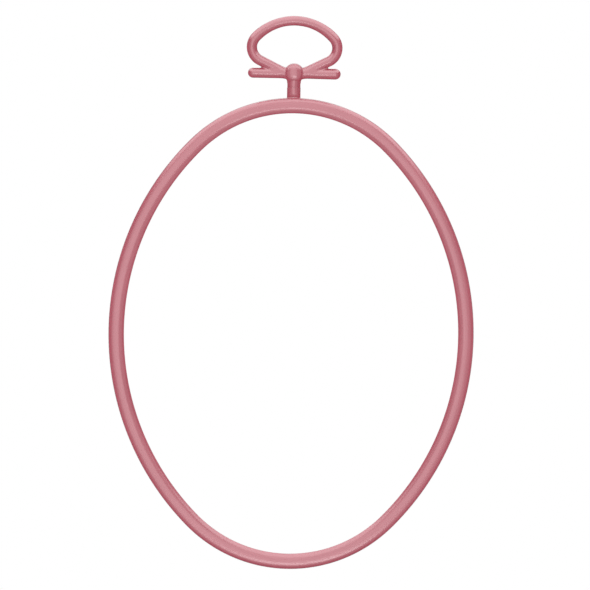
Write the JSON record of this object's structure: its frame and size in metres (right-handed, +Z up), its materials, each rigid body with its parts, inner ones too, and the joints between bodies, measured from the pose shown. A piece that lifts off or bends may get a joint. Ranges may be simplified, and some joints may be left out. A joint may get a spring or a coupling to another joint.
{
  "type": "embroidery hoop",
  "caption": "Oval screwless embroidery hoop and frame: a soft outer ring stretches over a stiff inner ring to grip cloth, with a looped hanger plugged in at the top.",
  "frame": {"origin": "centre of the oval opening, halfway through the depth of the outer ring", "axes": "+Z up towards the hanger, +X across the hoop to the right as seen from the front, +Y through the opening to the back; the front face looks along -Y"},
  "size_m": [0.1588, 0.0102, 0.2405],
  "materials": {
    "soft_vinyl": "dusty pink soft vinyl, satin",
    "ring_plastic": "dusty pink stiff plastic, satin",
    "hanger_plastic": "dusty pink plastic, semi-gloss"
  },
  "bodies": {
    "hanger": {"hanger": "hanger_plastic"},
    "outer_ring": {"outer_ring": "soft_vinyl"},
    "inner_ring": {"inner_ring": "ring_plastic"}
  },
  "joints": [
    {"name": "hanger_swivel", "type": "hinge", "parent": "hanger", "child": "outer_ring", "pos_m": [0, 0, 0.107], "axis": [0, 0, 1], "continuous": true},
    {"name": "inner_ring_release", "type": "slide", "parent": "outer_ring", "child": "inner_ring", "axis": [0, 1, 0], "range_m": [0, 0.03]}
  ]
}
